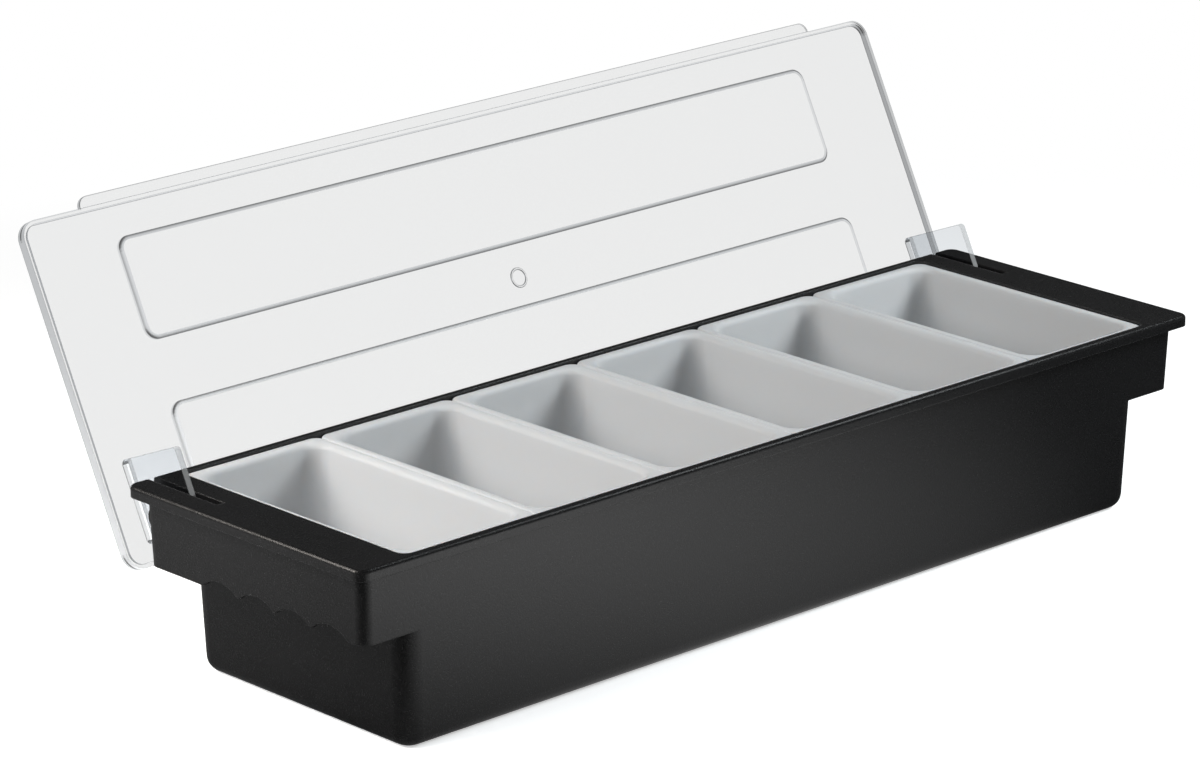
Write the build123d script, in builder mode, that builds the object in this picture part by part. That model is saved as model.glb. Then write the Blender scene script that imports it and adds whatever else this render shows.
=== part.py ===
from build123d import *
from math import acos, atan2, cos, degrees, hypot, radians, sin, sqrt, tan
import os

# Bar garnish tray: a moulded base, six lift-out inserts that hang in its rim, and a clear lid hinged at the back.
# Lengths are millimetres. X runs along the tray, -Y is the front, +Z is up.
# The origin is the middle of the base's flat underside.

# Base: rim and walls
tray_length = 496.0
tray_width = 148.0
tray_height = 87.0
rim_band = 5.0
rim_overhang = 5.0
rim_corner_radius = 5.0
rim_edge_radius = 1.5
draft_angle = 2.0
base_wall = 2.3
base_floor = 3.0
tub_corner_radius = 9.0
tub_foot_radius = 7.0
overrun = 8.0

# Base: seat that the inserts' lips rest on
end_strip = 26.0
side_strip = 4.0
seat_corner_radius = 5.0
seat_setback = 0.6

# Base: handle pods at both ends, hollow from below
pod_depth = 35.0
pod_wall = 2.5
scallop_count = 4
scallop_pitch = 22.8
scallop_width = 22.0
scallop_rise = 4.2
scallop_centre = -12.5

# Inserts
insert_count = 6
insert_gap = 0.3
insert_end_gap = 0.3
insert_lip_thickness = 2.5
insert_lip_drop = 1.0
insert_lip_corner_radius = 4.5
insert_lip_edge_radius = 1.0
insert_mouth_radius = 1.2
insert_overlap_x = 3.45
insert_overlap_y = 3.7
insert_wall = 1.6
insert_floor = 1.8
insert_draft = 3.0
insert_corner_radius = 8.5
insert_foot_radius = 6.0
insert_clear_below = 5.5

# Lid: a plate with a turned-down edge, sunk panels and a thumb lip
lid_plate = 2.0
lid_edge_depth = 2.6
lid_edge_wall = 1.9
lid_end_overhang = 2.5
lid_behind = 6.0
lid_front_setback = 2.0
lid_gap = 4.0
lid_corner_radius = 8.0
thumb_end_margin = 34.0
thumb_reach = 5.0
thumb_corner_radius = 4.8
panel_end_margin = 46.5
panel_sink = 1.2
panel_slope = 1.5
panel_corner_radius = 6.0
panel_rear_margin = 25.0
rear_panel_width = 38.5
panel_spacing = 27.5
panel_front_margin = 15.5
gate_radius = 4.5
gate_ring = 0.8
gate_height = 0.4

# Lid hinge: a tab at each end with a round stub that turns in a boss inside the pod
hinge_inset = 17.6
hinge_drop = 17.8
lid_stop_clearance = 0.3
tab_thickness = 3.0
tab_height = 38.2
tab_near = 9.0
tab_far = 46.0
tab_far_tip = 43.0
tab_heel = 15.5
tab_heel_height = 28.0
tab_corner_radius = 2.0
tab_side_clearance = 0.5
slot_clearance = 1.0
stub_radius = 3.0
stub_length = 3.2
stub_clearance = 0.08
stub_end_clearance = 0.4
boss_wall = 2.4

# Sizes that follow
rim_underside = tray_height - rim_band
seat_depth = insert_lip_thickness + insert_lip_drop
seat_height = tray_height - seat_depth
seat_half_length = tray_length / 2 - end_strip
seat_half_width = tray_width / 2 - side_strip
pod_bottom = tray_height - pod_depth
insert_pitch = 2 * seat_half_length / insert_count
tab_centre = tray_length / 2 - end_strip / 2
lid_underside = tray_height + lid_gap
lid_rear = tray_width / 2 + lid_behind
lid_front = lid_front_setback - tray_width / 2
lid_depth = lid_rear - lid_front
lid_half_length = tray_length / 2 + lid_end_overhang
hinge_y = lid_rear - hinge_inset
hinge_z = lid_underside - hinge_drop


def draft_in(z):
    """How far the base's drafted walls stand in at a height, from where they would meet the rim's top."""
    return (tray_height - z) * tan(radians(draft_angle))


def skirt_half_length(z):
    return tray_length / 2 - rim_overhang - draft_in(z)


def skirt_half_width(z):
    return tray_width / 2 - rim_overhang - draft_in(z)


def angle_when_open():
    """How far the lid turns back from closed, in radians, until its rear edge comes to the rear wall."""
    edge_reach = hypot(hinge_inset, hinge_drop - lid_edge_depth)
    stop_z = pod_bottom
    for _ in range(4):
        stop_y = skirt_half_width(stop_z) + lid_stop_clearance - hinge_y
        stop_z = hinge_z - sqrt(edge_reach**2 - stop_y**2)
    return atan2(hinge_drop - lid_edge_depth, hinge_inset) + acos(stop_y / edge_reach)


def tub_half_length(z):
    return seat_half_length - seat_setback - draft_in(z)


def rounded_section(half_x, half_y, radius, z, centre_x=0.0, centre_y=0.0):
    """A rounded rectangle, level at height z."""
    with BuildSketch(Plane.XY.offset(z)) as section:
        with Locations((centre_x, centre_y)):
            RectangleRounded(2 * half_x, 2 * half_y, radius)
    return section.sketch


def tub_section(z, wall, radius):
    return rounded_section(tub_half_length(z) - wall, skirt_half_width(z) - wall, radius, z)


def pod_hollow_section(z, side):
    """The space inside a handle pod, between the tub's end and the pod's own walls."""
    inner = tub_half_length(z)
    outer = skirt_half_length(z) - pod_wall
    with BuildSketch(Plane.XY.offset(z)) as section:
        with Locations((side * (inner + outer) / 2, 0)):
            Rectangle(outer - inner, 2 * (skirt_half_width(z) - pod_wall))
    return section.sketch


def outer_edges_at(part, z):
    """The edges round the level face nearest to a height."""
    nearest = min(part.faces().filter_by(Axis.Z), key=lambda face: abs(face.center().Z - z))
    return nearest.outer_wire().edges()


open_angle = angle_when_open()


def lowest_tab_crossing():
    """The height at which the open lid's tab crosses the rear wall's outer face."""
    lean = open_angle - radians(90)
    behind = hinge_inset - tab_near
    along = (skirt_half_width(hinge_z) - hinge_y + behind * sin(lean)) / cos(lean)
    return hinge_z - behind * cos(lean) - along * sin(lean)


# Base: tub, pods and rim
with BuildPart() as base:
    loft(sections=[tub_section(z, 0, tub_corner_radius) for z in (0, rim_underside)], ruled=True)
    fillet(outer_edges_at(base, 0), tub_foot_radius)
    loft(
        sections=[
            rounded_section(skirt_half_length(z), skirt_half_width(z), rim_corner_radius, z)
            for z in (pod_bottom, rim_underside)
        ],
        ruled=True,
    )
    with BuildSketch(Plane.XY.offset(rim_underside)):
        RectangleRounded(tray_length, tray_width, rim_corner_radius)
    extrude(amount=rim_band)
    fillet(outer_edges_at(base, tray_height), rim_edge_radius)

    # the tub's cavity and the seat for the inserts
    loft(
        sections=[
            tub_section(z, base_wall, tub_corner_radius - base_wall)
            for z in (base_floor, tray_height + overrun)
        ],
        ruled=True,
        mode=Mode.SUBTRACT,
    )
    fillet(outer_edges_at(base, base_floor), tub_foot_radius - base_wall)
    with BuildSketch(Plane.XY.offset(seat_height)):
        RectangleRounded(2 * seat_half_length, 2 * seat_half_width, seat_corner_radius)
    extrude(amount=seat_depth + overrun, mode=Mode.SUBTRACT)

    for side in (-1, 1):
        # the pod's hollow
        loft(
            sections=[pod_hollow_section(z, side) for z in (pod_bottom - overrun, rim_underside)],
            ruled=True,
            mode=Mode.SUBTRACT,
        )

        # finger scallops in the lower edge of the pod's end wall
        scallop_radius = (scallop_width**2 / 4 + scallop_rise**2) / (2 * scallop_rise)
        scallop_plane = Plane.YZ.offset(side * (skirt_half_length(pod_bottom) - pod_wall))
        with BuildSketch(scallop_plane):
            for number in range(scallop_count):
                place = scallop_centre + (number - (scallop_count - 1) / 2) * scallop_pitch
                with Locations((place, pod_bottom + scallop_rise - scallop_radius)):
                    Circle(scallop_radius)
        extrude(amount=overrun, both=True, mode=Mode.SUBTRACT)

        # hinge boss on the inside of the pod's end wall
        boss_face = tab_centre + tab_thickness / 2 + tab_side_clearance
        boss_root = skirt_half_length(hinge_z) - pod_wall / 2
        with BuildSketch(Plane.YZ.offset(side * boss_face)):
            with Locations((hinge_y, hinge_z)):
                Circle(stub_radius + stub_clearance + boss_wall)
        extrude(amount=side * (boss_root - boss_face))
        with BuildSketch(Plane.YZ.offset(side * boss_face)):
            with Locations((hinge_y, hinge_z)):
                Circle(stub_radius + stub_clearance)
        stub_reach = stub_length - tab_side_clearance + stub_end_clearance
        extrude(amount=side * stub_reach, mode=Mode.SUBTRACT)

        # slot for the lid's tab, through the rim and the upper part of the rear wall
        slot_half = tab_thickness / 2 + tab_side_clearance
        slot_front = hinge_y - hypot(tab_far - hinge_inset, hinge_drop) - slot_clearance
        slot_bottom = lowest_tab_crossing() - slot_clearance
        with BuildSketch(Plane.YZ.offset(side * tab_centre)):
            with Locations((slot_front, slot_bottom)):
                Rectangle(
                    tray_width / 2 - slot_front + overrun,
                    tray_height - slot_bottom + overrun,
                    align=Align.MIN,
                )
        extrude(amount=slot_half, both=True, mode=Mode.SUBTRACT)
base.part.label = "base"


# Inserts
lip_half_x = (insert_pitch - insert_gap) / 2
lip_half_y = seat_half_width - insert_end_gap
insert_lip_under = seat_height
insert_top = tray_height - insert_lip_drop
insert_bottom = base_floor + insert_clear_below


def insert_section(z, wall, radius, centre_x):
    """An insert's body at a height: its outside, or its inside where a wall is given."""
    narrowing = (insert_lip_under - z) * tan(radians(insert_draft)) + wall
    half_x = lip_half_x - insert_overlap_x - narrowing
    half_y = lip_half_y - insert_overlap_y - narrowing
    return rounded_section(half_x, half_y, radius, z, centre_x)


def make_insert(number):
    """One white insert, hanging by its lip."""
    centre_x = (number - (insert_count + 1) / 2) * insert_pitch
    with BuildPart() as insert:
        loft(
            sections=[
                insert_section(z, 0, insert_corner_radius, centre_x)
                for z in (insert_bottom, insert_lip_under)
            ],
            ruled=True,
        )
        fillet(outer_edges_at(insert, insert_bottom), insert_foot_radius)
        with BuildSketch(Plane.XY.offset(insert_lip_under)):
            with Locations((centre_x, 0)):
                RectangleRounded(2 * lip_half_x, 2 * lip_half_y, insert_lip_corner_radius)
        extrude(amount=insert_lip_thickness)
        fillet(outer_edges_at(insert, insert_top), insert_lip_edge_radius)
        inner_radius = insert_corner_radius - insert_wall
        loft(
            sections=[
                insert_section(z, insert_wall, inner_radius, centre_x)
                for z in (insert_bottom + insert_floor, insert_top + overrun)
            ],
            ruled=True,
            mode=Mode.SUBTRACT,
        )
        fillet(outer_edges_at(insert, insert_bottom + insert_floor), insert_foot_radius - insert_wall)
        rim_face = insert.faces().filter_by(Axis.Z).sort_by(Axis.Z)[-1]
        fillet(rim_face.inner_wires()[0].edges(), insert_mouth_radius)
    insert.part.label = f"insert_{number}"
    return insert.part


inserts = [make_insert(number) for number in range(1, insert_count + 1)]


# Lid, drawn level over the tray and then turned back about its hinge to where it rests open
lid_middle = (lid_rear + lid_front) / 2
lid_top = lid_underside + lid_plate
thumb_length = 2 * (lid_half_length - thumb_end_margin)
rear_panel_far = panel_rear_margin + rear_panel_width
panels = (
    (panel_rear_margin, rear_panel_far),
    (rear_panel_far + panel_spacing, lid_depth - panel_front_margin),
)


def panel_section(near, far, shrink, z):
    """A sunk panel's outline at a height, between two distances from the lid's rear edge."""
    half_x = lid_half_length - panel_end_margin - shrink
    half_y = (far - near) / 2 - shrink
    centre_y = lid_rear - (near + far) / 2
    return rounded_section(half_x, half_y, panel_corner_radius - shrink, z, 0, centre_y)


with BuildPart() as lid:
    with BuildSketch(Plane.XY.offset(lid_underside - lid_edge_depth)):
        with Locations((0, lid_middle)):
            RectangleRounded(2 * lid_half_length, lid_depth, lid_corner_radius)
    extrude(amount=lid_edge_depth + lid_plate)
    with BuildSketch(Plane.XY.offset(lid_underside - lid_edge_depth)):
        with Locations((0, lid_middle)):
            RectangleRounded(
                2 * (lid_half_length - lid_edge_wall),
                lid_depth - 2 * lid_edge_wall,
                lid_corner_radius - lid_edge_wall,
            )
    extrude(amount=lid_edge_depth, mode=Mode.SUBTRACT)
    with BuildSketch(Plane.XY.offset(lid_underside)):
        with Locations((0, lid_front)):
            RectangleRounded(thumb_length, 2 * thumb_reach, thumb_corner_radius)
    extrude(amount=lid_plate)

    # sunk panels: let in from above and standing down below by the same step
    for near, far in panels:
        loft(
            sections=[
                panel_section(near, far, 0, lid_underside),
                panel_section(near, far, panel_slope, lid_underside - panel_sink),
            ],
            ruled=True,
        )
        loft(
            sections=[
                panel_section(near, far, 0, lid_top),
                panel_section(near, far, panel_slope, lid_top - panel_sink),
            ],
            ruled=True,
            mode=Mode.SUBTRACT,
        )

    # moulding gate: a low ring in the middle of the underside
    with BuildSketch(Plane.XY.offset(lid_underside)):
        with Locations((0, lid_middle)):
            Circle(gate_radius)
            Circle(gate_radius - gate_ring, mode=Mode.SUBTRACT)
    extrude(amount=-gate_height)

    # tabs and their stubs
    for side in (-1, 1):
        tab_inner = side * (tab_centre - tab_thickness / 2)
        tab_outer = side * (tab_centre + tab_thickness / 2)
        with BuildSketch(Plane.YZ.offset(tab_inner)) as tab_profile:
            with BuildLine():
                Polyline(
                    (lid_rear - tab_near, lid_underside),
                    (lid_rear - tab_far, lid_underside),
                    (lid_rear - tab_far_tip, lid_underside - tab_height),
                    (lid_rear - tab_heel, lid_underside - tab_height),
                    (lid_rear - tab_heel, lid_underside - tab_heel_height),
                    (lid_rear - tab_near, lid_underside - hinge_drop),
                    close=True,
                )
            make_face()
            fillet(tab_profile.vertices().group_by(Axis.Z)[0], tab_corner_radius)
        extrude(amount=side * tab_thickness)
        with BuildSketch(Plane.YZ.offset(tab_outer)):
            with Locations((hinge_y, hinge_z)):
                Circle(stub_radius)
        extrude(amount=side * stub_length)

hinge_axis = Axis((0, hinge_y, hinge_z), (1, 0, 0))
open_lid = lid.part.rotate(hinge_axis, -degrees(open_angle))
open_lid.label = "lid"


os.makedirs("parts", exist_ok=True)
export_step(base.part, "parts/base.step")
for insert_part in inserts:
    export_step(insert_part, f"parts/{insert_part.label}.step")
export_step(open_lid, "parts/lid.step")
print("hinge axis at y", round(hinge_y, 3), "z", round(hinge_z, 3), "open", round(degrees(open_angle), 3))
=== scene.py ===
"""Bar garnish tray: a black moulded base, white lift-out inserts and a clear hinged lid, in a studio."""
import math

import bmesh
import bpy
from bpy.props import FloatProperty, FloatVectorProperty, IntProperty, PointerProperty
from mathutils import Matrix, Vector


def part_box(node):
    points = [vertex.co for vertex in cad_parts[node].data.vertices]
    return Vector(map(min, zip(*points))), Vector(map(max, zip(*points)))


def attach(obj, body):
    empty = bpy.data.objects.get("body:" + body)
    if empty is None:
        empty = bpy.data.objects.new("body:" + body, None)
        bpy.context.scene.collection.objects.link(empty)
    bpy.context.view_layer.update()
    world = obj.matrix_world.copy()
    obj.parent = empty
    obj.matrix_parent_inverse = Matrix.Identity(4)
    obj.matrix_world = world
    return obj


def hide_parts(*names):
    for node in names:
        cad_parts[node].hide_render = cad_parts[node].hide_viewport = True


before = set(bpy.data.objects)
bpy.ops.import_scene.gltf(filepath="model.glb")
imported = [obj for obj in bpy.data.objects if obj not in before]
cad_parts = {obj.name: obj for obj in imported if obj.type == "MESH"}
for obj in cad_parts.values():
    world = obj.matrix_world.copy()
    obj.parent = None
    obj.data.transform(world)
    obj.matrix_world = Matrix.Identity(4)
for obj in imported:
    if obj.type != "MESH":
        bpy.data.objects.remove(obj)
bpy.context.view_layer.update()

bl_info = {
    "name": "Bar Garnish Tray",
    "version": (1, 0, 0),
    "blender": (4, 5, 0),
    "location": "View3D > Sidebar > Garnish Tray",
    "description": "Dresses a garnish tray with its inserts and lid, and sets a plain studio round it",
    "category": "Object",
}

INSERT_COUNT = sum(name.startswith("insert_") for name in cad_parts)
LIP_LOW, LIP_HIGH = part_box("insert_1")
INSERT_HALF_X = (LIP_HIGH.x - LIP_LOW.x) / 2
INSERT_HALF_Y = (LIP_HIGH.y - LIP_LOW.y) / 2
INSERT_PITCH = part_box("insert_2")[0].x - LIP_LOW.x

# The camera: its place, the way it faces, its roll in radians and its lens
EYE = (-1.55545, -1.60314, 0.81581)
HEADING = math.radians(43.218)
LOOK_DOWN = math.radians(17.8926)
ROLL = 0.0032
LENS = 163.077
SENSOR_WIDTH = 36.0
FARTHEST = 50.0

# Black plastic: its clouds, its gloss, its grain and its rubbed edges, paler partly from wear and partly as a
# painted highlight
BLACK_CLOUD_SCALE = 14.0
BLACK_TONES = (0.8, 1.25)
BLACK_ROUGHNESS = (0.26, 0.33)
GRAIN_ROUGHNESS = 0.1
GRAIN_HEIGHT = 0.00013
GRAIN_STRENGTH = 0.6
EDGE_MASK_GAIN = 5.0
WEAR_AND_HIGHLIGHT_SHARE = 0.8
WEAR_AND_HIGHLIGHT_TONE = 2.0
WEAR_AND_HIGHLIGHT_LIFT = 0.025
RUBBED_SHINE = 0.08
BLACK_IOR = 1.5

# White plastic: its clouds, its fine unevenness, and the share of the light on it that goes through
WHITE_CLOUD_SCALE = 22.0
WHITE_FINE_SCALE = 900.0
WHITE_TONE = 0.97
WHITE_ROUGHNESS = (0.3, 0.4)
FINE_ROUGHNESS = 0.03
FINE_HEIGHT = 0.00002
FINE_STRENGTH = 0.4
WHITE_SUBSURFACE = 0.25
WHITE_DEPTH = (0.004, 0.005, 0.006)
THROUGH_WHITE = 0.3
WHITE_IOR = 1.49

# Clear plastic: its clouds, specks and ripples, and its tint where light goes straight on through it
CLEAR_CLOUD_SCALE = 30.0
RIPPLE_SCALE = 60.0
RIPPLE_HEIGHT = 0.00001
RIPPLE_STRENGTH = 0.1
SPECK_TONE = 0.95
CLEAR_CLOUD_TONE = 0.96
CLEAR_CLOUD_SHARE = 0.4
CLEAR_ROUGHNESS = 0.015
CLEAR_IOR = 1.49
STRAIGHT_TINT = (0.86, 0.87, 0.88, 1.0)

# Light goes straight on through the lid's slopes, and after it has met more surfaces than this
STRAIGHT_GAIN = 3.0
DEEP_BOUNCES = 2.5

# The open lid leans back from upright, and its borders, which turn light aside, show as painted grey lines: how
# dark, from 0 to 1
LID_LEAN = math.radians(26.8)
LID_UP = (0.0, math.sin(LID_LEAN), math.cos(LID_LEAN))
LID_FACE = (0.0, -math.cos(LID_LEAN), math.sin(LID_LEAN))
LINE_GREY = (0.15, 0.15, 0.15, 1.0)
LINES_ALONG = 1.0
LINES_ACROSS = 0.4
INNER_LINES = 0.15
LINES_AT_ENDS = 0.35
END_SHARPNESS = 3.0
LINES_AT_EDGES = 0.5
CORNER_GAIN = 4.0
CORNER_SHARE = 0.8
TAB_EDGES = 0.5
TAB_GLINT = 0.5
TAB_PALE = (0.45, 0.45, 0.45, 1.0)

# An insert's walls draw in downwards, its foot's corners more so, and its lip is softer above than below
INSERT_DRAFT = math.radians(3.0)
FOOT_TUCK = 0.35
LEAST_CORNER = 0.0008
LOWER_LIP_ROUND = 0.4
ARC_STEPS = 6
LOWER_LIP_STEPS = 3

# The lid's mesh: points this near are one, faces this nearly in line are one, and edges this sharp are rounded
MERGE_DISTANCE = 1e-6
FLAT_ANGLE = math.radians(0.5)
SHARP_ANGLE = math.radians(25)
LID_EDGE_STEPS = 3
CUT_OFFSET = 0.53
CUT_DISTANCE = 1e-7

# The studio: a white cove that stands a little way up round the table, in a dim room
COVE_TOP = -0.02
COVE_FADE = 0.10
ROOM_LIGHT = 0.05
BEYOND_LIGHT = 0.15
AMBIENT = 0.05
FLOOR_SIZE = 9.0
FLOOR_LIFT = 0.5
FLOOR_NEAR = 0.35
FLOOR_FADE = 0.35

# What a gloss shows of the floor: pools of light, each with its centre, reach and strength
POOLS = (
    ((-0.02, -0.31, 0.0), 0.33, 1.8),
    ((-0.42, 0.22, 0.0), 0.32, 0.56),
)
POOL_EDGE = 0.06

# Square softboxes: name, place, aim, width, power, spread in degrees, colour, and whether a gloss mirrors them
WHITE_LIGHT = (1.0, 1.0, 1.0)
WARM_LIGHT = (1.0, 0.94, 0.88)
COOL_LIGHT = (0.93, 0.98, 1.0)
LAMPS = (
    ("rear_softbox", (-0.6, 0.3, 0.45), (-0.1, 0.0, 0.05), 0.3, 3.0, 180.0, WARM_LIGHT, True),
    ("left_softbox", (-0.75, 0.1, 0.45), (-0.5, 0.05, 0.05), 0.4, 1.5, 90.0, WHITE_LIGHT, False),
    ("right_softbox", (0.65, -0.2, 0.8), (0.0, 0.0, 0.05), 0.3, 1.6, 180.0, COOL_LIGHT, True),
    ("front_softbox", (0.6, -0.55, 0.6), (0.0, 0.0, 0.05), 0.4, 8.0, 180.0, COOL_LIGHT, False),
    ("top_softbox", (-0.3, 0.1, 1.2), (-0.2, 0.0, 0.0), 0.6, 1.6, 180.0, WHITE_LIGHT, False),
)


# Shader values

class Wire:
    """The output of a shader node. Sums, products and powers of wires add the Math nodes that work them out."""

    def __init__(self, finish, socket):
        self.finish = finish
        self.socket = socket

    def math(self, operation, *values, clamp=False):
        settings = {"operation": operation, "use_clamp": clamp}
        return self.finish.node("ShaderNodeMath", settings, dict(enumerate(values)))

    def __gt__(self, other):
        return self.math("GREATER_THAN", self, other)

    def __add__(self, other):
        return self.math("ADD", self, other)

    __radd__ = __add__

    def __sub__(self, other):
        return self.math("SUBTRACT", self, other)

    def __rsub__(self, other):
        return self.math("SUBTRACT", other, self)

    def __mul__(self, other):
        return self.math("MULTIPLY", self, other)

    __rmul__ = __mul__

    def __truediv__(self, other):
        return self.math("DIVIDE", self, other)

    def __pow__(self, other):
        return self.math("POWER", self, other)

    def __abs__(self):
        return self.math("ABSOLUTE", self)

    def clamped(self):
        return self.math("ADD", self, 0.0, clamp=True)

    def spread(self, low, high):
        """This value, from 0 to 1, spread between two others."""
        return self * (high - low) + low


class Finish:
    """A material, or the world, and the nodes that it is made of."""

    def __init__(self, owner):
        owner.use_nodes = True
        self.owner = owner
        self.tree = owner.node_tree
        self.tree.nodes.clear()

    def node(self, kind, settings=None, inputs=None, output=0):
        node = self.tree.nodes.new(kind)
        for name, value in (settings or {}).items():
            setattr(node, name, value)
        for name, value in (inputs or {}).items():
            if isinstance(value, Wire):
                self.tree.links.new(value.socket, node.inputs[name])
            else:
                node.inputs[name].default_value = value
        return Wire(self, node.outputs[output])

    def place(self):
        """Where a point is on the object."""
        return self.node("ShaderNodeTexCoord", output="Object")

    def measure(self, operation, *vectors):
        """A number worked out from vectors, such as a dot product or a length."""
        inputs = dict(enumerate(vectors))
        return self.node("ShaderNodeVectorMath", {"operation": operation}, inputs, output=1)

    def noise(self, place, scale, detail=2.0, roughness=0.5):
        inputs = {"Vector": place, "Scale": scale, "Detail": detail, "Roughness": roughness}
        return self.node("ShaderNodeTexNoise", None, inputs)

    def mix(self, amount, first, second):
        """A colour between two, by an amount from 0 to 1."""
        settings = {"data_type": "RGBA", "clamp_factor": True}
        return self.node("ShaderNodeMix", settings, {0: amount, 6: first, 7: second}, output=2)

    def blend(self, amount, first, second):
        """A shader between two, by an amount from 0 to 1."""
        return self.node("ShaderNodeMixShader", None, {0: amount, 1: first, 2: second})

    def bump(self, height, distance, strength, normal=None):
        inputs = {"Height": height, "Distance": distance, "Strength": strength}
        if normal is not None:
            inputs["Normal"] = normal
        return self.node("ShaderNodeBump", None, inputs)

    def edge(self, radius, gain):
        """A soft rounded normal at the edges, and a mask that is 1 on them."""
        rounded = self.node("ShaderNodeBevel", {"samples": 4}, {"Radius": radius})
        flat = self.node("ShaderNodeNewGeometry", output="Normal")
        return rounded, ((1.0 - self.measure("DOT_PRODUCT", rounded, flat)) * gain).clamped()

    def glow(self, strength):
        return self.node("ShaderNodeEmission", None, {"Color": (*WHITE_LIGHT, 1.0), "Strength": strength})

    def ray(self, kind):
        """1 for rays of a kind."""
        return self.node("ShaderNodeLightPath", output=f"Is {kind} Ray")

    def deep(self):
        """1 for light that has been mirrored to and fro inside clear plastic, as at the lid's edges."""
        return self.node("ShaderNodeLightPath", output="Ray Depth") > DEEP_BOUNCES

    def seen_through(self):
        return (self.ray("Transmission") + self.deep()).clamped()

    def surface(self, shader, output="ShaderNodeOutputMaterial"):
        """Ends the nodes with their output, and gives back the material or the world."""
        end = self.tree.nodes.new(output)
        self.tree.links.new(shader.socket, end.inputs["Surface"])
        return self.owner


def new_material(name):
    return Finish(bpy.data.materials.new(name))


def shade(colour, share=1.0, lift=0.0):
    """A colour made darker or lighter, with an alpha of 1."""
    return (*(channel * share + lift for channel in colour[:3]), 1.0)


# Materials

def black_plastic(sizes, colours):
    """Satin moulded plastic with a fine grain, shinier where hands rub its edges and paler there, partly from
    wear and partly as a painted highlight.
    """
    finish = new_material("black_satin_plastic")
    place = finish.place()
    grain = finish.noise(place, 1.0 / sizes.grain_size, detail=3.0, roughness=0.6)
    cloud = finish.noise(place, BLACK_CLOUD_SCALE, detail=3.0, roughness=0.55)
    rounded, worn_and_highlit_edges = finish.edge(sizes.base_edge_round, EDGE_MASK_GAIN)
    tone = finish.mix(cloud, *(shade(colours.black, share) for share in BLACK_TONES))
    # the edges are painted paler: partly wear, partly a painted highlight where the rounded edges catch the
    # light
    tone = finish.mix(worn_and_highlit_edges * WEAR_AND_HIGHLIGHT_SHARE, tone, shade(colours.black, WEAR_AND_HIGHLIGHT_TONE, WEAR_AND_HIGHLIGHT_LIFT))
    roughness = grain.spread(-GRAIN_ROUGHNESS, GRAIN_ROUGHNESS) + cloud.spread(*BLACK_ROUGHNESS)
    return finish.surface(finish.node("ShaderNodeBsdfPrincipled", None, {
        "Base Color": tone,
        "Roughness": (roughness - worn_and_highlit_edges * RUBBED_SHINE).clamped(),
        "Normal": finish.bump(grain, GRAIN_HEIGHT, GRAIN_STRENGTH, rounded),
        "IOR": BLACK_IOR,
    }))


def white_plastic(sizes, colours):
    """Faintly translucent white plastic, smooth, with the slow unevenness of a moulded wall."""
    finish = new_material("white_translucent_plastic")
    place = finish.place()
    cloud = finish.noise(place, WHITE_CLOUD_SCALE)
    fine = finish.noise(place, WHITE_FINE_SCALE)
    body = finish.node("ShaderNodeBsdfPrincipled", None, {
        "Base Color": finish.mix(cloud, shade(colours.white, WHITE_TONE), shade(colours.white)),
        "Roughness": fine.spread(-FINE_ROUGHNESS, FINE_ROUGHNESS) + cloud.spread(*WHITE_ROUGHNESS),
        "Normal": finish.bump(fine, FINE_HEIGHT, FINE_STRENGTH),
        "IOR": WHITE_IOR,
        "Subsurface Weight": WHITE_SUBSURFACE,
        "Subsurface Radius": WHITE_DEPTH,
        "Subsurface Scale": 1.0,
    })
    through = finish.node("ShaderNodeBsdfTranslucent", None, {"Color": shade(colours.white)})
    return finish.surface(finish.blend(THROUGH_WHITE, body, through))


def slopes(facing):
    """1 on a slope that faces halfway, and 0 on a surface that faces wholly or not at all."""
    return facing * (1.0 - facing) * 4.0


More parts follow.
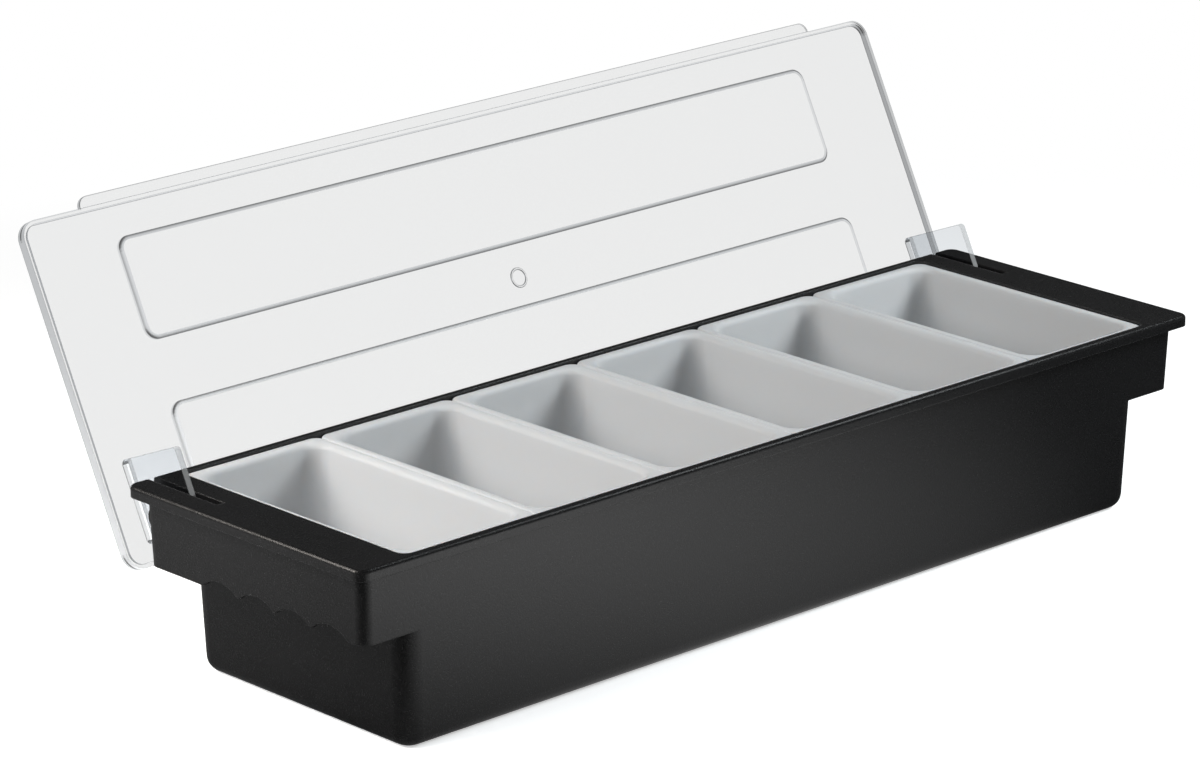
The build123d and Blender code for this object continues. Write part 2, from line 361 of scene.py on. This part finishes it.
def clear_plastic(sizes, colours, sheet_back):
    """Clear moulded plastic, faintly speckled, with painted grey lines at its borders, where they turn light
    aside. Its shadow is as light as the real one's.
    """
    finish = new_material("clear_lid_plastic")
    place = finish.place()
    cloud = finish.noise(place, CLEAR_CLOUD_SCALE)
    speck = finish.noise(place, 1.0 / sizes.speck_size, detail=2.0, roughness=0.7)
    ripple = finish.noise(place, RIPPLE_SCALE, detail=1.0, roughness=0.4)
    tone = finish.mix(speck, shade(colours.clear, SPECK_TONE), shade(colours.clear))
    solid = finish.node("ShaderNodeBsdfPrincipled", None, {
        "Base Color": finish.mix(cloud * CLEAR_CLOUD_SHARE, tone, shade(colours.clear, CLEAR_CLOUD_TONE)),
        "Roughness": cloud.spread(0.0, CLEAR_ROUGHNESS),
        "Normal": finish.bump(ripple, RIPPLE_HEIGHT, RIPPLE_STRENGTH),
        "IOR": CLEAR_IOR,
        "Transmission Weight": 1.0,
    })
    see_through = finish.node("ShaderNodeBsdfTransparent", None, {"Color": STRAIGHT_TINT})

    # where a surface is: on the sheet or on a tab, which stands out of it, and near the plate or away from it
    facing = finish.node("ShaderNodeTexCoord", output="Normal")
    along = abs(finish.measure("DOT_PRODUCT", facing, LID_UP))
    across = abs(finish.measure("DOT_PRODUCT", facing, (1.0, 0.0, 0.0)))
    height = finish.measure("DOT_PRODUCT", place, LID_FACE)
    on_tab = height > sheet_back + sizes.sheet_depth
    on_sheet = 1.0 - on_tab
    underside = height > sheet_back + sizes.sheet_depth / 3
    outer = (1.0 - (height - (sheet_back + sizes.sheet_plate)) / sizes.border_line).clamped() * underside

    # light is bent by the plate alone: it goes straight through the tabs, and on through what follows them
    gone_straight = finish.node("ShaderNodeLightPath", output="Transparent Depth") > 0.5
    straight = finish.ray("Shadow") + finish.deep() + gone_straight + on_tab + (along + across) * STRAIGHT_GAIN
    body = finish.blend(straight.clamped(), solid, see_through)

    # the tabs' narrow sides catch the light
    pale = finish.node("ShaderNodeBsdfDiffuse", None, {"Color": TAB_PALE})
    body = finish.blend((on_tab * (1.0 - across) * TAB_GLINT).clamped(), body, pale)

    # a border turns light aside, so it shows as a grey line, darker along the lid and on the sheet's underside
    grey = finish.node("ShaderNodeBsdfTransparent", None, {"Color": LINE_GREY})
    _, corner = finish.edge(sizes.lid_line_width, CORNER_GAIN)
    borders = slopes(along) * LINES_ALONG + slopes(across) * LINES_ACROSS
    borders = borders * outer.spread(INNER_LINES, 1.0) * (1.0 - corner * CORNER_SHARE)
    line = (borders + across ** END_SHARPNESS * LINES_AT_ENDS) * on_sheet
    line = line + corner * on_sheet.spread(TAB_EDGES, LINES_AT_EDGES)
    return finish.surface(finish.blend(line.clamped(), body, grey))


def floor_surface(colours):
    """A white floor. The camera sees it lifted to white, with the tray's shadow, and clear plastic plain."""
    finish = new_material("studio_floor")
    place = finish.place()
    plain = finish.glow(1.0)
    diffuse = finish.node("ShaderNodeBsdfDiffuse", None, {"Color": shade(colours.floor)})
    lift = finish.glow(finish.ray("Camera") * FLOOR_LIFT)
    lit = finish.node("ShaderNodeAddShader", None, {0: diffuse, 1: lift})
    far = ((finish.measure("LENGTH", place) - FLOOR_NEAR) / FLOOR_FADE).clamped()
    lit = finish.blend(finish.ray("Camera") * far, lit, plain)
    # in a gloss, the floor is a pool of light in front of the tray and one beside it, which fade outwards
    pool = POOL_EDGE
    for centre, reach, light in POOLS:
        pool = (1.0 - finish.measure("DISTANCE", place, centre) / reach).clamped() * light + pool
    lit = finish.blend(finish.ray("Glossy"), lit, finish.glow(pool))
    return finish.surface(finish.blend(finish.seen_through(), lit, plain))


def studio_world():
    """White to the camera. Glosses and clear plastic show the cove and the dim room above it."""
    finish = Finish(bpy.data.worlds.new("studio"))
    direction = finish.node("ShaderNodeTexCoord", output="Generated")
    up = finish.node("ShaderNodeSeparateXYZ", None, {0: direction}, output=2)
    cove = (1.0 - (up - COVE_TOP) / COVE_FADE).clamped().spread(ROOM_LIGHT, 1.0)
    through = finish.seen_through()
    shown = (finish.ray("Glossy") - through).clamped() * cove + through * cove.spread(BEYOND_LIGHT, 1.0)
    strength = finish.ray("Camera") + shown + finish.ray("Diffuse") * AMBIENT
    inputs = {"Color": (*WHITE_LIGHT, 1.0), "Strength": strength}
    return finish.surface(finish.node("ShaderNodeBackground", None, inputs), "ShaderNodeOutputWorld")


# Meshes

def link(name, data):
    piece = bpy.data.objects.new(name, data)
    bpy.context.scene.collection.objects.link(piece)
    return piece


def finished(shape, name):
    """A bmesh as an object."""
    data = bpy.data.meshes.new(name)
    shape.to_mesh(data)
    shape.free()
    return link(name, data)


def plain_copy(piece, name):
    """A piece's finished mesh, with its modifiers worked in, as a new object. The piece itself goes."""
    bpy.context.view_layer.update()
    evaluated = piece.evaluated_get(bpy.context.evaluated_depsgraph_get())
    mesh = bpy.data.meshes.new_from_object(evaluated)
    bpy.data.objects.remove(piece)
    mesh.name = name
    return link(name, mesh)


def dress(piece, material):
    piece.data.materials.clear()
    piece.data.materials.append(material)


def cut_up(mesh, direction, count):
    """Cuts long flat faces into short ones along a direction, so that they fill cleanly."""
    shape = bmesh.new()
    shape.from_mesh(mesh)
    heights = [direction.dot(vertex.co) for vertex in shape.verts]
    low, high = min(heights), max(heights)
    for number in range(count):
        place = direction * (low + (high - low) * (number + CUT_OFFSET) / count)
        everything = shape.verts[:] + shape.edges[:] + shape.faces[:]
        bmesh.ops.bisect_plane(shape, geom=everything, dist=CUT_DISTANCE, plane_co=place, plane_no=direction)
    shape.to_mesh(mesh)
    shape.free()


def crisp_normals(mesh):
    """Flat faces shade flat, and the rounded strips between them, in slot 1, turn from one to the next."""
    flat = {}
    for face in mesh.polygons:
        if face.material_index == 0:
            for vertex in face.vertices:
                if vertex not in flat or face.area > flat[vertex].area:
                    flat[vertex] = face
    normals = []
    for face in mesh.polygons:
        for vertex in face.vertices:
            if face.material_index == 0:
                normal = face.normal
            elif vertex in flat:
                normal = flat[vertex].normal
            else:
                normal = mesh.vertices[vertex].normal
            normals.append(normal.copy())
    mesh.normals_split_custom_set(normals)


def rounded_ring(half_x, half_y, radius, z, steps):
    """Points round a rounded rectangle, anticlockwise, as many at each corner."""
    points = []
    for corner, (side_x, side_y) in enumerate(((1, 1), (-1, 1), (-1, -1), (1, -1))):
        for step in range(steps + 1):
            turn = math.radians(90) * (corner + step / steps)
            x = side_x * (half_x - radius) + radius * math.cos(turn)
            y = side_y * (half_y - radius) + radius * math.sin(turn)
            points.append((x, y, z))
    return points


def arc(centre, radius, start, end, steps=ARC_STEPS):
    """Points (across, up) on a circular arc, with its angles in degrees."""
    turns = [math.radians(start + (end - start) * step / steps) for step in range(steps + 1)]
    return [(centre[0] + radius * math.cos(t), centre[1] + radius * math.sin(t)) for t in turns]


def insert_rings(sizes):
    """The rings of one insert: up its outside, over its lip and down its inside."""
    foot, top = LIP_LOW.z, LIP_HIGH.z
    under = top - sizes.lip_thickness
    wall = sizes.insert_wall
    corner = sizes.insert_corner
    inner_floor = foot + sizes.insert_floor
    outer_radius, inner_radius = sizes.foot_round, sizes.foot_round - wall
    body = (sizes.overlap_x, sizes.overlap_y)
    rings = []

    def drawn_in(z):
        return (under - z) * math.tan(INSERT_DRAFT)

    def add(inward, z, radius, start=(0.0, 0.0)):
        """Adds a ring that lies a distance in from the lip's outer edge, or from another start."""
        half_x = INSERT_HALF_X - (start[0] + inward)
        half_y = INSERT_HALF_Y - (start[1] + inward)
        rings.append((half_x, half_y, max(radius, LEAST_CORNER), z))

    # outside, from the flat foot up
    centre_in = drawn_in(foot + outer_radius) + outer_radius
    for across, up in arc((0, 0), outer_radius, -90, 0):
        radius = corner - (outer_radius - across) * FOOT_TUCK
        add(centre_in - across, foot + outer_radius + up, radius, body)
    add(0.0, under, corner, body)
    # lip: a soft lower edge, a flat side and a rounded top
    lower = sizes.lip_round * LOWER_LIP_ROUND
    for across, up in arc((lower, lower), lower, -90, -180, LOWER_LIP_STEPS):
        add(across, under + up, sizes.lip_corner)
    for across, up in arc((sizes.lip_round, -sizes.lip_round), sizes.lip_round, 180, 90):
        add(across, top + up, sizes.lip_corner)
    # mouth
    mouth_in = drawn_in(top) + wall
    for across, up in arc((mouth_in - sizes.mouth_round, -sizes.mouth_round), sizes.mouth_round, 90, 0):
        add(across, top + up, corner - wall, body)
    # inside, down to the floor
    centre_in = drawn_in(inner_floor + inner_radius) + wall + inner_radius
    for across, up in arc((0, 0), inner_radius, 0, -90):
        radius = corner - wall - (inner_radius - across) * FOOT_TUCK
        add(centre_in - across, inner_floor + inner_radius + up, radius, body)
    return rings


def insert_shell(sizes):
    """One insert, centred on the origin."""
    shape = bmesh.new()
    loops = [
        [shape.verts.new(point) for point in rounded_ring(*ring, sizes.corner_steps)]
        for ring in insert_rings(sizes)
    ]
    for lower, upper in zip(loops, loops[1:]):
        count = len(lower)
        for index in range(count):
            after = (index + 1) % count
            shape.faces.new((lower[index], lower[after], upper[after], upper[index]))
    shape.faces.new(list(reversed(loops[0])))
    shape.faces.new(loops[-1])
    bmesh.ops.recalc_face_normals(shape, faces=shape.faces)
    for face in shape.faces:
        face.smooth = True
    return finished(shape, "insert_shell")


def row_tree():
    """Geometry nodes that set a row of like shapes side by side and keep the one with a given number."""
    tree = bpy.data.node_groups.new("insert_row", "GeometryNodeTree")
    sockets = (
        ("Geometry", "Geometry"), ("Count", "Int"), ("Pitch", "Float"), ("Number", "Int"),
        ("Material", "Material"),
    )
    for name, kind in sockets:
        tree.interface.new_socket(name, in_out="INPUT", socket_type=f"NodeSocket{kind}")
    tree.interface.new_socket("Geometry", in_out="OUTPUT", socket_type="NodeSocketGeometry")
    made = {}

    def add(name, kind, settings=None, inputs=None):
        """Adds a node. An input is a value, or the name of an earlier node and one of its outputs."""
        node = tree.nodes.new(kind)
        for key, value in (settings or {}).items():
            setattr(node, key, value)
        for key, value in (inputs or {}).items():
            if isinstance(value, tuple):
                tree.links.new(made[value[0]].outputs[value[1]], node.inputs[key])
            else:
                node.inputs[key].default_value = value
        made[name] = node

    add("given", "NodeGroupInput")
    add("gaps", "ShaderNodeMath", {"operation": "SUBTRACT"}, {0: ("given", "Count"), 1: 1.0})
    add("half", "ShaderNodeMath", {"operation": "MULTIPLY"}, {0: ("gaps", 0), 1: -0.5})
    add("start", "ShaderNodeMath", {"operation": "MULTIPLY"}, {0: ("half", 0), 1: ("given", "Pitch")})
    add("first", "ShaderNodeCombineXYZ", None, {"X": ("start", 0)})
    add("step", "ShaderNodeCombineXYZ", None, {"X": ("given", "Pitch")})
    add("row", "GeometryNodeMeshLine", {"mode": "OFFSET"}, {
        "Count": ("given", "Count"), "Start Location": ("first", 0), "Offset": ("step", 0),
    })
    add("index", "GeometryNodeInputIndex")
    add("chosen", "FunctionNodeCompare", {"data_type": "INT", "operation": "EQUAL"}, {
        2: ("index", 0), 3: ("given", "Number"),
    })
    add("copies", "GeometryNodeInstanceOnPoints", None, {
        "Points": ("row", 0), "Selection": ("chosen", 0), "Instance": ("given", "Geometry"),
    })
    add("real", "GeometryNodeRealizeInstances", None, {0: ("copies", 0)})
    add("painted", "GeometryNodeSetMaterial", None, {
        "Geometry": ("real", 0), "Material": ("given", "Material"),
    })
    add("result", "NodeGroupOutput", None, {0: ("painted", 0)})
    return tree


def set_input(modifier, name, value):
    """Sets a modifier's named input by its socket's identifier."""
    for item in modifier.node_group.interface.items_tree:
        if item.item_type == "SOCKET" and item.in_out == "INPUT" and item.name == name:
            modifier[item.identifier] = value
            return
    raise KeyError(name)


# Sizes and colours that a user may change

def length(name, description, default, least):
    return FloatProperty(name=name, description=description, default=default, min=least, unit="LENGTH")


def steps(name, description, default, least):
    return IntProperty(name=name, description=description, default=default, min=least)


def colour(name, description, default):
    return FloatVectorProperty(
        name=name, description=description, default=default, min=0.0, max=1.0, subtype="COLOR",
    )


class GarnishTraySizes(bpy.types.PropertyGroup):
    base_edge_round: length("Base edge rounding", "Soft rounding on the base's moulded edges", 0.001, 0.0)
    grain_size: length("Grain size", "Size of the fine grain moulded into the black plastic", 0.0009, 0.0001)
    insert_wall: length("Insert wall", "Thickness of an insert's wall", 0.0016, 0.0005)
    insert_floor: length("Insert floor", "Thickness of an insert's floor", 0.0018, 0.0005)
    insert_corner: length("Insert corner radius", "Radius of an insert's upright corners", 0.011, 0.001)
    foot_round: length("Insert foot radius", "Radius between an insert's walls and its underside", 0.006, 0.002)
    lip_thickness: length("Lip thickness", "Height of the lip that an insert hangs by", 0.0025, 0.001)
    lip_round: length("Lip edge radius", "Radius of the lip's upper outer edge", 0.0011, 0.0002)
    mouth_round: length("Mouth radius", "Radius from the lip's top into the insert", 0.0027, 0.0002)
    lip_corner: length("Lip corner radius", "Radius of the lip's outline at its corners", 0.0045, 0.001)
    overlap_x: length("Lip width at the sides", "How far the lip stands out, along the tray", 0.00345, 0.001)
    overlap_y: length("Lip width at the ends", "How far the lip stands out, across the tray", 0.0037, 0.001)
    corner_steps: steps("Corner steps", "Faces round each corner of an insert", 10, 2)
    lid_edge_round: length("Lid edge rounding", "Rounding on the edges of the clear lid", 0.0004, 0.0)
    sheet_depth: length("Sheet depth", "Depth of the lid's sheet with its turned-down rim", 0.0048, 0.001)
    sheet_plate: length("Sheet thickness", "Thickness of the lid's sheet", 0.002, 0.0005)
    border_line: length("Border line", "Height of the panels' border that shows dark", 0.0009, 0.0001)
    lid_line_width: length("Lid edge line", "Width of the grey line along the clear edges", 0.0007, 0.0001)
    speck_size: length("Speck size", "Size of the fine specks in the clear plastic", 0.0011, 0.0001)
    lid_cuts: steps("Lid cuts", "Cuts across the lid's flat faces, each way", 9, 1)


class GarnishTrayColours(bpy.types.PropertyGroup):
    black: colour("Base", "Colour of the black plastic", (0.006, 0.006, 0.0063))
    white: colour("Inserts", "Colour of the white plastic", (0.76, 0.775, 0.79))
    clear: colour("Lid", "Tint of the clear plastic", (0.925, 0.93, 0.93))
    floor: colour("Floor", "Colour of the studio floor", (0.9, 0.9, 0.9))


def chosen(context):
    """The sizes and the colours as they are set in the panel."""
    return context.scene.garnish_tray_sizes, context.scene.garnish_tray_colours


# Pieces

class GarnishTrayFinishBase(bpy.types.Operator):
    """Gives the moulded base its black satin plastic"""

    bl_idname = "garnish_tray.finish_base"
    bl_label = "Finish Base"

    def execute(self, context):
        dress(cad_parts["base"], black_plastic(*chosen(context)))
        return {"FINISHED"}


class GarnishTrayMakeInserts(bpy.types.Operator):
    """Makes the white inserts in their row and hangs each in its place"""

    bl_idname = "garnish_tray.make_inserts"
    bl_label = "Make Inserts"

    def execute(self, context):
        sizes, colours = chosen(context)
        material = white_plastic(sizes, colours)
        tree = row_tree()
        shell = insert_shell(sizes)
        for number in range(INSERT_COUNT):
            source = link("insert_source", shell.data.copy())
            modifier = source.modifiers.new("row", "NODES")
            modifier.node_group = tree
            set_input(modifier, "Count", INSERT_COUNT)
            set_input(modifier, "Pitch", INSERT_PITCH)
            set_input(modifier, "Number", number)
            set_input(modifier, "Material", material)
            name = f"insert_{number + 1}"
            piece = plain_copy(source, f"white_{name}")
            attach(piece, name)
            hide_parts(name)
        bpy.data.objects.remove(shell)
        return {"FINISHED"}


class GarnishTrayMakeLid(bpy.types.Operator):
    """Gives the lid its clear plastic, with softly rounded edges"""

    bl_idname = "garnish_tray.make_lid"
    bl_label = "Make Lid"

    def execute(self, context):
        sizes, colours = chosen(context)
        shape = bmesh.new()
        shape.from_mesh(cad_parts["lid"].data)
        bmesh.ops.remove_doubles(shape, verts=shape.verts, dist=MERGE_DISTANCE)
        bmesh.ops.dissolve_limit(shape, angle_limit=FLAT_ANGLE, verts=shape.verts, edges=shape.edges)
        source = finished(shape, "lid_source")
        # slot 0 is for the flat faces, and slot 1 for the rounded strips between them
        for face in source.data.polygons:
            face.use_smooth = True
            face.material_index = 0
        source.data.materials.append(None)
        source.data.materials.append(None)
        bevel = source.modifiers.new("edges", "BEVEL")
        bevel.width = sizes.lid_edge_round
        bevel.segments = LID_EDGE_STEPS
        bevel.limit_method = "ANGLE"
        bevel.angle_limit = SHARP_ANGLE
        bevel.material = 1
        piece = plain_copy(source, "clear_lid")
        for direction in ((1.0, 0.0, 0.0), LID_UP):
            cut_up(piece.data, Vector(direction), sizes.lid_cuts)
        crisp_normals(piece.data)
        sheet_back = min(Vector(LID_FACE).dot(vertex.co) for vertex in piece.data.vertices)
        dress(piece, clear_plastic(sizes, colours, sheet_back))
        piece.visible_glossy = False
        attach(piece, "lid")
        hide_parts("lid")
        return {"FINISHED"}


# Stage

def add_lamp(name, place, aim, width, power, spread, tint, mirrored):
    """A softbox that faces the point it is aimed at. Nothing shows it through the lid."""
    lamp = bpy.data.lights.new(name, "AREA")
    lamp.shape = "SQUARE"
    lamp.size = width
    lamp.energy = power
    lamp.color = tint
    lamp.spread = math.radians(spread)
    piece = link(name, lamp)
    piece.location = place
    piece.rotation_euler = (Vector(aim) - Vector(place)).to_track_quat("-Z", "Y").to_euler()
    piece.visible_glossy = mirrored
    piece.visible_transmission = False


def add_camera():
    heading = Vector((math.sin(HEADING), math.cos(HEADING), 0)) * math.cos(LOOK_DOWN)
    forward = heading - Vector((0, 0, math.sin(LOOK_DOWN)))
    right = Vector((math.cos(HEADING), -math.sin(HEADING), 0))
    down = forward.cross(right)
    turned_right = right * math.cos(ROLL) + down * math.sin(ROLL)
    turned_down = down * math.cos(ROLL) - right * math.sin(ROLL)
    axes = Matrix((turned_right, -turned_down, -forward)).transposed()
    data = bpy.data.cameras.new("camera")
    data.sensor_width = SENSOR_WIDTH
    data.lens = LENS
    data.clip_end = FARTHEST
    camera = link("camera", data)
    camera.matrix_world = Matrix.Translation(EYE) @ axes.to_4x4()
    bpy.context.scene.camera = camera


class GarnishTraySetStage(bpy.types.Operator):
    """Sets the floor, the lamps, the world and the camera"""

    bl_idname = "garnish_tray.set_stage"
    bl_label = "Set Stage"

    def execute(self, context):
        shape = bmesh.new()
        bmesh.ops.create_grid(shape, x_segments=1, y_segments=1, size=FLOOR_SIZE)
        floor = finished(shape, "studio_floor")
        dress(floor, floor_surface(chosen(context)[1]))
        for lamp in LAMPS:
            add_lamp(*lamp)
        add_camera()
        context.scene.world = studio_world()
        context.scene.view_settings.view_transform = "Standard"
        return {"FINISHED"}


class GarnishTrayPanel(bpy.types.Panel):
    """Lists the tray's pieces, sizes and colours"""

    bl_idname = "VIEW3D_PT_garnish_tray"
    bl_label = "Garnish Tray"
    bl_space_type = "VIEW_3D"
    bl_region_type = "UI"
    bl_category = "Garnish Tray"

    def draw(self, context):
        column = self.layout.column()
        for operator in OPERATORS:
            column.operator(operator.bl_idname)
        for group in chosen(context):
            for name in group.bl_rna.properties.keys():
                if name not in ("rna_type", "name"):
                    column.prop(group, name)


OPERATORS = (GarnishTrayFinishBase, GarnishTrayMakeInserts, GarnishTrayMakeLid, GarnishTraySetStage)
CLASSES = (GarnishTraySizes, GarnishTrayColours, *OPERATORS, GarnishTrayPanel)


def register():
    for item in CLASSES:
        bpy.utils.register_class(item)
    bpy.types.Scene.garnish_tray_sizes = PointerProperty(type=GarnishTraySizes)
    bpy.types.Scene.garnish_tray_colours = PointerProperty(type=GarnishTrayColours)


def unregister():
    del bpy.types.Scene.garnish_tray_colours
    del bpy.types.Scene.garnish_tray_sizes
    for item in reversed(CLASSES):
        bpy.utils.unregister_class(item)


def main():
    register()
    bpy.ops.garnish_tray.finish_base()
    bpy.ops.garnish_tray.make_inserts()
    bpy.ops.garnish_tray.make_lid()
    bpy.ops.garnish_tray.set_stage()


if __name__ == "__main__":
    main()
